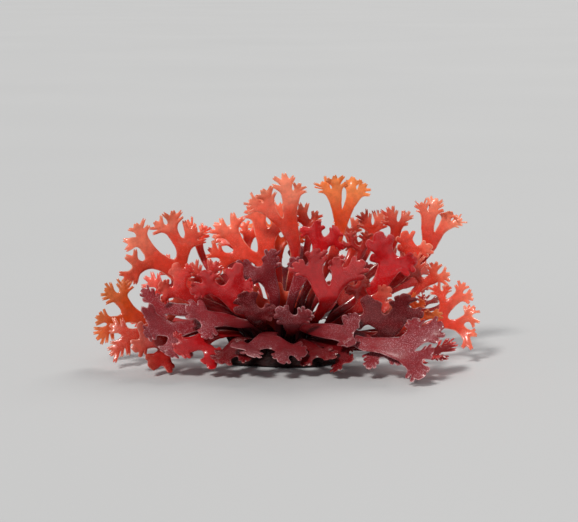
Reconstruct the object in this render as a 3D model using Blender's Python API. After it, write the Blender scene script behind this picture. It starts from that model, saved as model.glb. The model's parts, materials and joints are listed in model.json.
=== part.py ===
"""Irish moss: one tuft of a red seaweed, at its real size, standing on its basal crust.

A dark crust carries the fronds. Each frond is one flat, rubbery blade: a narrow stipe that widens
upwards, forks again and again, and ends in little hands of blunt fingers. The fronds grow one after
another, and each limb bends whichever way keeps it clear of what has already grown, so that no two
of them touch.
"""

import math
import random
from typing import NamedTuple

import bpy
import numpy as np
from mathutils import Matrix, Vector, kdtree
from mathutils.bvhtree import BVHTree

MM = 0.001
SEED = 11

# The whole tuft: half its width, half its depth and its height
TUFT_HALF_WIDTH = 95 * MM
TUFT_HALF_DEPTH = 66 * MM
TUFT_HEIGHT = 92 * MM

# The crust that the fronds grow from: a low, lumpy mound with a flat bottom
CRUST_HALF_WIDTH = 31 * MM
CRUST_HALF_DEPTH = 23 * MM
CRUST_HEIGHT = 6.0 * MM
CRUST_SIDES = 26
CRUST_RINGS = ((1.0, 0.0), (1.04, 0.22), (1.0, 0.5), (0.86, 0.78), (0.6, 0.93), (0.3, 1.0))
CRUST_LUMPS = 0.06

# Where the stipes stand on the crust, and how far above it
FOOT_WIDTH = 2.8 * MM
FOOT_THICKNESS = 1.6 * MM
FOOT_SPACING = 3.6 * MM
FOOT_GAP = 0.3 * MM
FOOT_RISE = 5.0 * MM
FOOT_REACH = 0.86
FOOT_TRIES = 80
GOLDEN_ANGLE = math.radians(137.5)
STIPE_ROW = 13.5 * MM

# How thick a blade is, and how thin its fingertips get
BLADE_THICKNESS = 0.8 * MM
TIP_THICKNESS = 0.65 * MM

# How far a blade's middle surface stays from another frond's, from its own, and from the ground
CLEAR_OF_OTHERS = 1.8 * MM
CLEAR_OF_ITSELF = 1.2 * MM
CLEAR_OF_GROUND = 1.1 * MM
SAMPLE_STEP = 1.1 * MM

# How a blade widens on its way to a fork, how much of a limb lies before the next one,
# and how much wider than the others the first fork spreads
STIPE_FLARE = 1.15
STIPE_WIDENING = 2.2
LIMB_FLARE = 1.08
LIMB_BEFORE_FORK = 0.45
FIRST_SPREAD = 1.15

# A hand, the end of a limb: fingers along its palm and one at its tip, but none beside the axil.
# A limb with no room for a hand ends in a stump, as long as this share of half its width
FINGER_ANGLES = (math.radians(54), math.radians(40), math.radians(30))
LAST_FINGER = 0.8
NOTCH = 0.82
STUMP = 0.2

# Around an axil, the two limbs of a fork may be as close as they like
AXIL_REACH = 2.4 * MM

# The ways a limb tries to bend, sway and twist, in degrees beyond its own, until one is clear
WAYS = (
    (0, 0, 0), (16, 0, 0), (-16, 0, 0), (0, 16, 0), (0, -16, 0),
    (30, 0, 14), (-30, 0, -14), (0, 30, 0), (0, -30, 0), (24, 24, 0), (24, -24, 0),
    (-24, 24, 0), (-24, -24, 0), (50, 0, 0), (-50, 0, 0), (66, 0, 24), (-66, 0, -24),
)

HAND_TRIES = [(scale, way) for scale in (1.0, 0.85, 0.7) for way in WAYS[:5]]
HAND_TRIES += [(scale, way) for scale in (0.9, 0.6, 0.45) for way in WAYS]

# The ways a stipe tries to bow, as shares of its length to its side and to its face
STIPE_WAYS = (
    (0, 0), (0.10, 0), (-0.10, 0), (0, 0.10), (0, -0.10), (0.22, 0), (-0.22, 0), (0, 0.2), (0, -0.2),
    (0.15, 0.15), (-0.15, 0.15), (0.15, -0.15), (-0.15, -0.15), (0.32, 0), (-0.32, 0), (0, 0.32), (0, -0.32),
)

# The places that a first fork tries, in mm from its own
FORK_MOVES = (
    (0, 0, 0), (0, 4, 0), (0, -4, 0), (3, 0, 2), (-3, 0, 2), (0, 0, 4), (0, 7, 0), (0, -7, 0), (0, 5, 4),
    (0, 10, 0), (0, -10, 0), (4, 8, 2), (-4, 8, 2), (4, -8, 2), (-4, -8, 2), (0, 13, 3), (0, -13, 3),
)


class Style(NamedTuple):
    """How a frond forks. Lengths and widths are shares of its fan's size, angles are in degrees."""

    forks: int
    shrink: float
    width: float
    taper: float
    spread: float
    curl: float
    ruffle: float
    notches: tuple
    finger: float
    fingertip: float
    stop: float


#            forks shrink width taper spread curl ruffle notches finger fingertip stop
LACE = Style(3, 0.80, 0.165, 0.86, 60, 4, 8, (1, 2, 2), 0.55, 0.50, 0.1)
FAN = Style(2, 0.80, 0.20, 0.84, 31, 4, 7, (3, 3, 2), 0.60, 0.50, 0.0)
COMB = Style(2, 0.86, 0.19, 0.84, 60, 6, 10, (2, 2, 3), 0.48, 0.50, 0.0)
TWIG = Style(1, 1.00, 0.24, 0.84, 44, 5, 10, (2, 3), 0.42, 0.50, 0.0)
ARMS = Style(2, 0.80, 0.22, 0.90, 54, 7, 14, (2, 2), 0.40, 0.66, 0.0)
LEAF = Style(2, 0.85, 0.33, 0.84, 76, 9, 16, (1, 2, 2), 0.38, 0.66, 0.1)
PALM = Style(1, 1.00, 0.40, 0.84, 76, 12, 16, (2, 2, 3), 0.32, 0.66, 0.0)

CAMERA = Vector((0, -1, 0.22))
HALFWAY = Vector((0, -0.75, 0.65))
SKY = Vector((0, -0.25, 1))
REAR = Vector((0, 1, 0.22))

AMBER = (0.78, 0.20, 0.03)
SALMON = (0.74, 0.16, 0.09)
CORAL = (0.60, 0.07, 0.05)
CRIMSON = (0.42, 0.02, 0.02)
PLUM = (0.22, 0.04, 0.06)
MAROON = (0.12, 0.015, 0.02)
CRUST_COLOUR = (0.035, 0.010, 0.010)


class Frond(NamedTuple):
    """One frond: where it first forks in mm, how it grows and faces there, and its fan's size in mm."""

    name: str
    fork: tuple
    growth: tuple
    face: Vector
    size: float
    style: Style
    colour: tuple
    seed: int = 0


FRONDS = (
    # The blades along the front that hang towards the ground
    Frond("right_front_palm", (49, -38, 21), (-0.05, -0.1, 1), CAMERA, 26, LEAF, MAROON, 6),
    Frond("right_front_low", (44, -46, 13), (0.25, -0.6, -0.45), CAMERA, 17, PALM, PLUM),
    Frond("right_front_sweep", (52, -44, 15), (0.95, -0.15, 0.05), HALFWAY, 28, LEAF, PLUM, 3),
    Frond("right_low_curl", (60, -38, 10), (0.9, -0.3, -0.12), SKY, 24, COMB, CRIMSON),
    Frond("middle_low", (-8, -42, 18), (0.0, -0.72, -0.45), CAMERA, 27, LEAF, PLUM),
    Frond("middle_right_low", (27, -42, 13), (0.3, -0.75, -0.25), CAMERA, 19, LEAF, MAROON),
    Frond("front_right_small", (15, -43, 12), (0.2, -0.7, -0.4), CAMERA, 15, PALM, MAROON),
    Frond("front_left_small", (-24, -42, 13), (-0.1, -0.7, -0.4), CAMERA, 17, PALM, MAROON),
    Frond("left_low_maroon", (-38, -40, 16), (-0.3, -0.6, -0.45), CAMERA, 21, LEAF, CRIMSON),
    Frond("left_low_red", (-54, -34, 16), (-0.7, -0.3, -0.4), CAMERA, 22, LEAF, CORAL),
    Frond("left_broad", (-50, -32, 21), (-0.85, -0.4, -0.05), HALFWAY, 24, LEAF, PLUM),
    Frond("left_middle_sweep", (-34, -34, 25), (-0.8, -0.4, 0.1), HALFWAY, 20, PALM, PLUM),
    # The blades along the far side that hang towards the ground
    Frond("rear_low_far_left", (-58, 28, 15), (-0.8, 0.5, 0.05), SKY, 24, COMB, CORAL),
    Frond("rear_low_left", (-32, 38, 17), (-0.2, 0.7, -0.42), REAR, 24, LEAF, PLUM),
    Frond("rear_low_middle", (-4, 41, 18), (0.0, 0.7, -0.45), REAR, 25, LEAF, MAROON),
    Frond("rear_low_right", (23, 40, 17), (0.15, 0.7, -0.42), REAR, 24, LEAF, PLUM),
    Frond("rear_low_far_right", (48, 34, 17), (0.7, 0.65, 0.0), SKY, 23, LEAF, CRIMSON),
    Frond("rear_right_edge", (64, 18, 21), (0.85, 0.3, 0.2), SKY, 24, COMB, CORAL),
    # Two fans of the far side that need their room early
    Frond("rear_right_fan", (55, 26, 32), (0.6, 0.3, 0.6), REAR, 27, COMB, CORAL),
    Frond("rear_right_hand", (30, 36, 31), (0.2, 0.5, 0.75), REAR, 24, LEAF, CRIMSON),
    # The middle of the front
    Frond("middle_trunk", (20, -33, 34), (-0.12, -0.05, 1), CAMERA, 31, ARMS, CRIMSON, 3),
    Frond("middle_dark_lobes", (-13, -34, 26), (0, -0.3, 0.95), CAMERA, 20, PALM, MAROON),
    Frond("middle_left_hand", (-27, -22, 33), (0, -0.1, 1), CAMERA, 23, LEAF, CRIMSON),
    Frond("middle_cup", (4, -38, 23), (-0.05, -0.35, 0.9), CAMERA, 17, PALM, PLUM),
    Frond("middle_right_reach", (27, -38, 20), (0.9, -0.3, 0.1), HALFWAY, 20, PALM, PLUM),
    Frond("middle_upper_grey", (-8, -14, 42), (-0.5, -0.25, 0.75), CAMERA, 21, PALM, PLUM),
    Frond("middle_grey_curl", (8, -18, 44), (0.4, -0.2, 0.8), CAMERA, 15, PALM, PLUM),
    Frond("upper_middle_palm", (17, -12, 56), (0.1, -0.15, 1), CAMERA, 18, LEAF, CRIMSON),
    Frond("inner_right", (32, -4, 22), (0.25, 0, 1), CAMERA, 25, LEAF, CORAL),
    Frond("left_inner", (-40, 2, 22), (-0.25, 0, 1), CAMERA, 25, LEAF, CORAL),
    Frond("inner_bright", (-9, -6, 22), (-0.1, -0.05, 1), CAMERA, 26, LEAF, SALMON),
    # The right side
    Frond("right_broad_stem", (50, -8, 46), (0.15, -0.1, 1), CAMERA, 23, PALM, CRIMSON),
    Frond("right_middle_leaf", (38, -24, 31), (0.2, -0.1, 1), CAMERA, 18, LEAF, CORAL),
    Frond("right_amber", (62, -22, 22), (0.3, -0.15, 0.93), CAMERA, 18, COMB, AMBER),
    Frond("right_hook", (74, -8, 19), (0.8, 0, 0.5), CAMERA, 27, LACE, SALMON),
    Frond("right_inner_stem", (66, -2, 36), (0.5, 0, 0.85), CAMERA, 21, COMB, SALMON),
    Frond("top_right", (69, 6, 53), (0.2, 0, 1), CAMERA, 24, FAN, SALMON, 2),
    Frond("right_upper_leaf", (62, -4, 50), (0.05, 0, 1), CAMERA, 16, PALM, SALMON),
    # The tall fans along the top, from left to right
    Frond("top_left", (-50, 6, 40), (-0.52, 0, 0.86), CAMERA, 40, LACE, SALMON, 2),
    Frond("top_left_narrow", (-42, 18, 54), (0.0, 0.1, 1), CAMERA, 14, TWIG, SALMON),
    Frond("upper_left_fan", (-9, 14, 44), (-0.25, 0.05, 0.97), CAMERA, 40, LACE, SALMON, 1),
    Frond("top_middle", (4, 2, 60), (-0.36, 0, 1), CAMERA, 28, FAN, SALMON, 3),
    Frond("top_right_middle", (27, 5, 63), (0.06, 0.05, 1), CAMERA, 25, FAN, AMBER, 2),
    Frond("upper_fork", (12, 14, 62), (-0.1, 0, 1), CAMERA, 15, TWIG, SALMON),
    Frond("upper_right_cluster", (37, 0, 52), (0, -0.15, 1), CAMERA, 16, COMB, CORAL),
    Frond("upper_right_fork", (43, 14, 58), (0, 0.05, 1), CAMERA, 17, TWIG, SALMON),
    Frond("upper_right_thin", (54, 10, 61), (0.05, 0, 1), CAMERA, 16, TWIG, SALMON),
    # The left side
    Frond("left_amber", (-71, -10, 22), (-0.85, -0.1, 0.5), CAMERA, 26, COMB, AMBER),
    Frond("left_long_tips", (-70, -22, 16), (-0.9, -0.1, -0.25), CAMERA, 20, TWIG, SALMON),
    Frond("left_upper_palm", (-57, -22, 29), (-0.9, -0.35, 0.15), HALFWAY, 18, PALM, PLUM),
    Frond("left_middle_leaf", (-48, -20, 36), (-0.5, -0.2, 0.8), CAMERA, 17, LEAF, CORAL),
    Frond("left_narrow_stem", (-37, -12, 38), (-0.2, 0, 1), CAMERA, 17, TWIG, CORAL),
    # The upper fans of the far side
    Frond("rear_top_left", (-20, 26, 48), (-0.15, 0.2, 1), REAR, 23, COMB, SALMON),
    Frond("rear_top_middle", (-3, 30, 50), (0.1, 0.3, 1), REAR, 26, COMB, AMBER),
    Frond("rear_top_right", (34, 28, 48), (0.15, 0.2, 1), REAR, 23, COMB, SALMON),
    Frond("rear_left_fan", (-52, 26, 28), (-0.6, 0.35, 0.6), REAR, 27, COMB, CORAL),
    Frond("rear_left_hand", (-27, 36, 31), (-0.2, 0.5, 0.75), REAR, 24, LEAF, CRIMSON),
    Frond("rear_middle_hand", (2, 40, 33), (0.0, 0.6, 0.75), REAR, 24, LEAF, PLUM),
)


class Frame(NamedTuple):
    """A place on a blade: its point, the way it grows, its left side, and the way its face looks."""

    origin: Vector
    along: Vector
    side: Vector
    face: Vector

    def turned(self, angle):
        """Turned to the left in the blade's own plane."""
        turn = Matrix.Rotation(angle, 3, self.face)
        return Frame(self.origin, turn @ self.along, turn @ self.side, self.face)

    def moved(self, ahead, left=0.0):
        return self._replace(origin=self.origin + ahead * self.along + left * self.side)

    def carried(self, step, bend, sway, twist):
        """One short step on, curling towards the face, swaying to the left and rolling."""
        half = Matrix.Rotation(sway / 2, 3, self.face) @ Matrix.Rotation(-bend / 2, 3, self.side)
        origin = self.origin + step * (half @ self.along)
        turn = Matrix.Rotation(sway, 3, self.face) @ Matrix.Rotation(-bend, 3, self.side)
        turn = turn @ Matrix.Rotation(twist, 3, self.along)
        return Frame(origin, turn @ self.along, turn @ self.side, turn @ self.face)


def frame_at(origin, along, face):
    """A frame that grows along one way and looks as nearly as it can the other."""
    along = along.normalized()
    side = face.cross(along).normalized()
    return Frame(origin, along, side, along.cross(side))


def stretch(frame, length, turns):
    """Frames every millimetre or so along a limb, the first one left out."""
    steps = max(2, math.ceil(length / SAMPLE_STEP))
    frames = []
    for _ in range(steps):
        frame = frame.carried(length / steps, *(turn / steps for turn in turns))
        frames.append(frame)
    return frames


def edge(frame, left, right):
    """The two ends of a row, from how far it reaches on each side."""
    return frame.moved(0, left).origin, frame.moved(0, -right).origin


def sheet(lower, upper):
    """Sample points all over the piece of blade between two rows, the lower row left out."""
    longest = max((end - start).length for start, end in zip(lower, upper))
    steps = max(1, math.ceil(longest / SAMPLE_STEP))
    points = []
    for k in range(1, steps + 1):
        left, right = (start.lerp(end, k / steps) for start, end in zip(lower, upper))
        across = max(1, math.ceil((right - left).length / SAMPLE_STEP))
        points += [left.lerp(right, j / across) for j in range(across + 1)]
    return points


def sheets(edges):
    """Sample points all over the blade between rows that follow each other."""
    return [point for lower, upper in zip(edges, edges[1:]) for point in sheet(lower, upper)]


class Blade:
    """A frond's middle surface, built row by row. A row runs from the left edge to the right one."""

    def __init__(self):
        self.points = []
        self.faces = []
        self.thickness = []

    def add(self, point, thickness):
        self.points.append(point)
        self.thickness.append(thickness)
        return len(self.points) - 1

    def row(self, frame, left, right, thickness):
        """Three points across the blade, from how far it reaches on each side."""
        places = [frame.moved(0, reach).origin for reach in (left, (left - right) / 2, -right)]
        return tuple(self.add(place, thickness) for place in places)

    def join(self, lower, upper):
        """Joins two rows. Where their counts differ, triangles take up the difference."""
        i = j = 0
        while i < len(lower) - 1 or j < len(upper) - 1:
            next_lower = (i + 1) / (len(lower) - 1)
            next_upper = (j + 1) / (len(upper) - 1)
            if abs(next_lower - next_upper) < 0.2:
                self.faces.append((lower[i], lower[i + 1], upper[j + 1], upper[j]))
                i += 1
                j += 1
            elif next_upper < next_lower:
                self.faces.append((lower[i], upper[j + 1], upper[j]))
                j += 1
            else:
                self.faces.append((lower[i], lower[i + 1], upper[j]))
                i += 1

    def open_fork(self, row, left, right):
        """Joins a row to the first rows of two limbs, which share the point in the axil."""
        self.faces.append((row[0], row[1], left[1], left[0]))
        self.faces.append((row[1], left[2], left[1]))
        self.faces.append((row[1], right[1], left[2]))
        self.faces.append((row[1], row[2], right[2], right[1]))


class Grown:
    """The points of every frond that has already grown."""

    def __init__(self):
        self.points = []
        self.tree = None

    def add(self, points):
        self.points.extend(points)
        self.tree = kdtree.KDTree(len(self.points))
        for index, point in enumerate(self.points):
            self.tree.insert(point, index)
        self.tree.balance()

    def clears(self, points):
        if self.tree is None:
            return True
        return all(self.tree.find(point)[2] >= CLEAR_OF_OTHERS for point in points)


class Fork(NamedTuple):
    """How a limb splits in two: each new limb's turn, where it starts, how wide it is and how strong."""

    turns: tuple
    reaches: tuple
    halves: tuple
    vigours: tuple

    def limbs(self, frame):
        return [frame.turned(turn).moved(reach) for turn, reach in zip(self.turns, self.reaches)]

    def rows(self, frame):
        """The first rows of the left and the right limb. Their inner ends are both in the axil."""
        return [edge(limb, half, half) for limb, half in zip(self.limbs(frame), self.halves)]

    def web(self, frame, width):
        """Sample points all over the web between the limb and the two that it splits into."""
        left, right = edge(frame, width / 2, width / 2)
        left_row, right_row = self.rows(frame)
        return sheet((left, frame.origin), left_row) + sheet((frame.origin, right), right_row)


class Limb(NamedTuple):
    """A limb as it leaves its fork: its first row, its axil, and the limb that it grows from."""

    row: tuple
    frame: Frame
    half: float
    axil: Vector
    parent: int
    outward: int
    level: int
    vigour: float


class Growth:
    """One frond as it grows among the others."""

    def __init__(self, spec, grown):
        self.spec = spec
        self.style = spec.style
        self.random = random.Random(f"{SEED} {spec.name} {spec.seed}")
        self.grown = grown
        self.blade = Blade()
        self.limbs = []
        size = spec.size * MM
        levels = range(self.style.forks + 1)
        shares = [self.style.shrink**level for level in levels]
        self.lengths = [size * share / sum(shares) for share in shares]
        self.widths = [size * self.style.width * self.style.taper**level for level in levels]

    def clears(self, points, parent=None, axil=None):
        """Whether these points keep off the ground, the other fronds and this one's own far limbs."""
        if min(point.z for point in points) < CLEAR_OF_GROUND:
            return False
        mine = away_from(np.array(points), axil)
        for index, limb in enumerate(self.limbs):
            if index != parent:
                other = away_from(limb, axil)
                apart = mine[:, None, :] - other[None, :, :]
                if apart.size and (apart**2).sum(axis=2).min() < CLEAR_OF_ITSELF**2:
                    return False
        return self.grown.clears(points)

    def keep(self, points):
        self.limbs.append(np.array(points))
        return len(self.limbs) - 1

    def own_turns(self):
        """How this limb would bend, sway and twist if it were alone."""
        ruffle = self.style.ruffle
        return (
            self.style.curl + self.random.uniform(-ruffle, ruffle),
            self.random.uniform(-ruffle, ruffle),
            self.random.uniform(-ruffle, ruffle),
        )

    def plan_fork(self, level):
        """A leader and a side limb, whose inner edges meet in the axil."""
        spread = math.radians(self.style.spread * self.random.uniform(0.85, 1.15))
        if level == 0:
            spread *= FIRST_SPREAD
        share = 0.5 + self.random.choice((-1, 1)) * self.random.uniform(0.04, 0.2)
        lean = share - 0.5
        left, right = (self.widths[level] * (0.93 + turn * 0.8 * lean) / 2 for turn in (-1, 1))
        pairs = ((left, right), (right, left))
        reaches = [(other + own * math.cos(spread)) / math.sin(spread) for own, other in pairs]
        turns = (spread * share, -spread * (1 - share))
        return Fork(turns, reaches, (left, right), (1 - 1.2 * lean, 1 + 1.2 * lean))

    def grow(self, crust, feet):
        """Grows the whole frond, and says whether there was room for it."""
        fork = self.plan_fork(0)
        found = self.stipe(crust, feet, fork)
        if found is None:
            return False
        rows, points = found
        here = self.keep(points)
        row = None
        for frame, half, thickness in rows:
            upper = self.blade.row(frame, half, half, thickness)
            if row:
                self.blade.join(row, upper)
            row = upper
        self.split(row, rows[-1][0], fork, 0, here)
        self.grown.add([Vector(point) for limb in self.limbs for point in limb])
        return True

    def stipe(self, crust, feet, fork):
        """The stalk from its foot on the crust to the first fork: its rows and sample points, or None."""
        spec = self.spec
        width = self.widths[0] * STIPE_FLARE
        for move in FORK_MOVES:
            end = frame_at((Vector(spec.fork) + Vector(move)) * MM, Vector(spec.growth), spec.face)
            for foot in foot_places(end.origin):
                if any((foot - other).xy.length < FOOT_SPACING for other in feet):
                    continue
                foot.z = crust.height(foot) + FOOT_GAP
                for bow in STIPE_WAYS:
                    rows = stipe_rows(stipe_frames(foot, end, bow), width)
                    points = sheets([edge(frame, half, half) for frame, half, _ in rows])
                    points += fork.web(end, width)
                    if self.clears(points):
                        feet.append(foot)
                        return rows, points
        return None

    def split(self, row, frame, fork, level, parent):
        """Splits a limb at its last row, and grows both of the limbs that come from it."""
        blade = self.blade
        left, right = fork.limbs(frame)
        (outer_left, axil), (_, outer_right) = fork.rows(frame)
        shared = blade.add(axil, BLADE_THICKNESS)
        places = (outer_left, left.origin, right.origin, outer_right)
        ends = [blade.add(place, BLADE_THICKNESS) for place in places]
        left_row = (*ends[:2], shared)
        right_row = (shared, *ends[2:])
        blade.open_fork(row, left_row, right_row)
        self.limb(Limb(left_row, left, fork.halves[0], axil, parent, 1, level, fork.vigours[0]))
        self.limb(Limb(right_row, right, fork.halves[1], axil, parent, -1, level, fork.vigours[1]))

    def limb(self, limb):
        """Grows a limb on from its first row. It forks again, or ends in a hand."""
        length = self.lengths[limb.level] * limb.vigour * self.random.uniform(0.85, 1.15) * LIMB_BEFORE_FORK
        hand_length = self.lengths[-1] * limb.vigour * self.random.uniform(0.9, 1.15)
        if limb.level == self.style.forks - 1 or self.random.random() < self.style.stop * limb.level:
            self.hand(limb, hand_length)
            return
        own = self.own_turns()
        fork = self.plan_fork(limb.level + 1)
        width = limb.half * 2 * LIMB_FLARE
        for way in WAYS:
            frames = stretch(limb.frame, length, turns_of(own, way))
            last = frames[-1]
            points = sheet(edge(limb.frame, limb.half, limb.half), edge(last, width / 2, width / 2))
            points += fork.web(last, width)
            if self.clears(points, limb.parent, limb.axil):
                break
        else:
            self.hand(limb, hand_length)
            return
        row = self.blade.row(last, width / 2, width / 2, BLADE_THICKNESS)
        self.blade.join(limb.row, row)
        self.split(row, last, fork, limb.level + 1, self.keep(points))

    def hand(self, limb, length):
        """Ends a limb in a palm with fingers, all of it smaller where there is no room."""
        blade = self.blade
        own = self.own_turns()
        count = self.random.choice(self.style.notches)
        reaches = [(self.random.uniform(0.7, 1.25), self.random.uniform(0.7, 1.25)) for _ in range(count)]
        for scale, way in HAND_TRIES:
            edges, fingers = self.lay_hand(limb, length * scale, turns_of(own, way), reaches)
            points = sheets(edges)
            points += [point for base, tip in fingers.values() for point in sheet(base, tip)]
            if self.clears(points, limb.parent, limb.axil):
                break
        else:
            stump = limb.half * STUMP
            half = limb.half - stump
            blade.join(limb.row, blade.row(limb.frame.moved(stump), half, half, TIP_THICKNESS))
            return
        self.keep(points)
        lower = limb.row
        for k, ends in enumerate(edges[1:]):
            upper = [blade.add(end, BLADE_THICKNESS) for end in ends]
            blade.join(lower, upper)
            self.finger((lower[0], upper[0]), fingers.get((k, 1)))
            self.finger((upper[1], lower[-1]), fingers.get((k, -1)))
            lower = upper
        self.finger(lower, fingers["tip"])

    def lay_hand(self, limb, length, turns, reaches):
        """The edges of a palm at its notches, and its fingers, each as the two rows that it lies between."""
        palm = stretch(limb.frame, length, turns)
        span = len(reaches) + LAST_FINGER
        notches = [limb.frame]
        notches += [palm[round(k / span * len(palm)) - 1] for k in range(1, len(reaches) + 1)]
        edges = [edge(notch, limb.half * NOTCH**k, limb.half * NOTCH**k) for k, notch in enumerate(notches)]
        fingers = {}
        for k, (left_reach, right_reach) in enumerate(reaches):
            (left, right), (upper_left, upper_right) = edges[k], edges[k + 1]
            sides = ((1, (left, upper_left), left_reach), (-1, (upper_right, right), right_reach))
            for turn, base, reach in sides:
                if k == 0 and turn != limb.outward:
                    continue
                root = notches[k + 1]._replace(origin=(base[0] + base[1]) / 2).turned(turn * FINGER_ANGLES[k])
                finger = stretch(root, length * self.style.finger * reach, (turns[0], 0, 0))
                fingers[k, turn] = (base, self.fingertip(finger[-1], base))
        fingers["tip"] = (edges[-1], self.fingertip(palm[-1], edges[-1]))
        return edges, fingers

    def finger(self, base, finger):
        if finger:
            self.blade.join(base, [self.blade.add(end, TIP_THICKNESS) for end in finger[1]])

    def fingertip(self, frame, base):
        half = (base[1] - base[0]).length / 2 * self.style.fingertip
        return edge(frame, half, half)


def away_from(points, axil):
    """The points that aren't right beside an axil."""
    if axil is None:
        return points
    return points[((points - np.array(axil))**2).sum(axis=1) > AXIL_REACH**2]


def turns_of(own, way):
    return [math.radians(mine + more) for mine, more in zip(own, way)]


def stipe_rows(frames, width):
    """The rows of a stipe, each with half its width and its thickness. It widens late and thins slowly."""
    count = max(3, round(len(frames) * SAMPLE_STEP / STIPE_ROW))
    rows = []
    for k in range(count + 1):
        share = k / count
        half = (FOOT_WIDTH + (width - FOOT_WIDTH) * share**STIPE_WIDENING) / 2
        thickness = FOOT_THICKNESS + (BLADE_THICKNESS - FOOT_THICKNESS) * share
        rows.append((frames[round(share * (len(frames) - 1))], half, thickness))
    return rows


def foot_places(fork):
    """Places for a foot on the crust, the best one first: outer and low fronds stand nearer its rim."""
    across = Vector((fork.x / TUFT_HALF_WIDTH, fork.y / TUFT_HALF_DEPTH))
    lowness = 1 - fork.z / TUFT_HEIGHT
    best = across.normalized() * min(FOOT_REACH, across.length * (0.75 + 0.6 * lowness))
    for k in range(FOOT_TRIES):
        step = Vector((math.cos(k * GOLDEN_ANGLE), math.sin(k * GOLDEN_ANGLE))) * 0.055 * math.sqrt(k)
        place = best + step
        if place.length <= FOOT_REACH:
            yield Vector((place.x * CRUST_HALF_WIDTH, place.y * CRUST_HALF_DEPTH, 0))


def stipe_frames(foot, end, bow):
    """Frames from the foot straight up off the crust, then along a curve to the first fork, with no twist."""
    top = foot + Vector((0, 0, FOOT_RISE))
    apart = (end.origin - top).length
    rise = max(0.0, end.origin.z - top.z)
    controls = (
        top,
        top + Vector((0, 0, 0.2 * apart + 0.25 * rise)) + (bow[0] * end.side + bow[1] * end.face) * apart,
        end.origin - 0.38 * apart * end.along,
        end.origin,
    )
    count = max(4, math.ceil(apart * 1.15 / SAMPLE_STEP))
    points = [smooth_path(controls, k / count) for k in range(count + 1)]
    below = max(2, math.ceil(FOOT_RISE / SAMPLE_STEP))
    points = [foot.lerp(top, k / below) for k in range(below)] + points
    ways = [(after - before).normalized() for before, after in zip(points, points[1:])] + [end.along]
    frames = [end]
    for point, way in zip(reversed(points[:-1]), reversed(ways[:-1])):
        turn = frames[-1].along.rotation_difference(way)
        frames.append(frame_at(point, way, turn @ frames[-1].face))
    return frames[::-1]


def smooth_path(controls, share):
    """A point on the cubic Bezier curve with these control points."""
    a, b, c, d = controls
    rest = 1 - share
    return rest**3 * a + 3 * rest**2 * share * b + 3 * rest * share**2 * c + share**3 * d


class Crust:
    """The low mound that carries every frond."""

    def __init__(self):
        self.points = []
        self.faces = []
        rows = []
        for ring, (reach, rise) in enumerate(CRUST_RINGS):
            rows.append([self.lumpy(reach, rise, ring, side) for side in range(CRUST_SIDES)])
        for lower, upper in zip(rows, rows[1:]):
            for k in range(CRUST_SIDES):
                after = (k + 1) % CRUST_SIDES
                self.faces.append((lower[k], lower[after], upper[after]))
                self.faces.append((lower[k], upper[after], upper[k]))
        self.close(rows[0][::-1], 0)
        self.close(rows[-1], CRUST_HEIGHT)
        self.tree = BVHTree.FromPolygons(self.points, self.faces)

    def lumpy(self, reach, rise, ring, side):
        angle = 2 * math.pi * (side + 0.5 * (ring % 2)) / CRUST_SIDES
        lump = 1 + CRUST_LUMPS * (math.sin(5 * angle + 1.3) + 0.7 * math.sin(9 * angle + 2.1 * ring))
        x = CRUST_HALF_WIDTH * reach * lump * math.cos(angle)
        y = CRUST_HALF_DEPTH * reach * lump * math.sin(angle)
        self.points.append(Vector((x, y, CRUST_HEIGHT * rise * (1 + 0.5 * (lump - 1)))))
        return len(self.points) - 1

    def close(self, ring, height):
        """Closes a ring with a fan of triangles around a middle point."""
        self.points.append(Vector((0, 0, height)))
        middle = len(self.points) - 1
        for k, corner in enumerate(ring):
            self.faces.append((corner, ring[(k + 1) % len(ring)], middle))

    def height(self, place):
        """The highest point of the crust under a foot."""
        reach = FOOT_WIDTH / 2
        corners = [Vector((x, y, 0)) for x in (-reach, 0, reach) for y in (-reach, 0, reach)]
        above = Vector((0, 0, 2 * CRUST_HEIGHT))
        hits = [self.tree.ray_cast(place + corner + above, Vector((0, 0, -1)))[0] for corner in corners]
        return max(hit.z for hit in hits if hit)


def material(name, colour, roughness):
    made = bpy.data.materials.new(name)
    made.use_nodes = True
    shader = made.node_tree.nodes["Principled BSDF"]
    shader.inputs["Base Color"].default_value = (*colour, 1)
    shader.inputs["Roughness"].default_value = roughness
    made.diffuse_color = (*colour, 1)
    return made


def mesh_object(name, points, faces, finish):
    mesh = bpy.data.meshes.new(name)
    mesh.from_pydata(points, [], faces)
    mesh.materials.append(finish)
    made = bpy.data.objects.new(name, mesh)
    bpy.context.scene.collection.objects.link(made)
    return made


def frond_object(spec, blade):
    """The blade as a thin solid: its middle surface in triangles, thickened alike on both faces."""
    made = mesh_object(spec.name, blade.points, blade.faces, material(spec.name, spec.colour, 0.42))
    thickness = made.vertex_groups.new(name="thickness")
    for index, thick in enumerate(blade.thickness):
        thickness.add([index], thick / FOOT_THICKNESS, "REPLACE")
    made.modifiers.new("Triangles", "TRIANGULATE")
    solid = made.modifiers.new("Thickness", "SOLIDIFY")
    solid.thickness = FOOT_THICKNESS
    solid.offset = 0
    solid.vertex_group = thickness.name


def clear_scene():
    for thing in list(bpy.data.objects):
        bpy.data.objects.remove(thing)


def main():
    clear_scene()
    crust = Crust()
    mesh_object("basal_crust", crust.points, crust.faces, material("basal_crust", CRUST_COLOUR, 0.75))
    grown = Grown()
    feet = []
    for spec in FRONDS:
        growth = Growth(spec, grown)
        if growth.grow(crust, feet):
            frond_object(spec, growth.blade)
        else:
            print("no room for", spec.name)


main()
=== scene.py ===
"""Irish moss: the finer look of the tuft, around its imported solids.

Each frond grows here by the same rule and from the same seed as its solid does, so it has the same
form. Its middle surface is then rounded off, its fingertips split into small teeth, its faces ruffle
and its margins thin out. Shares and distances along it go with the mesh, for its colours.
"""

import json
import math
import random
from typing import NamedTuple

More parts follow.
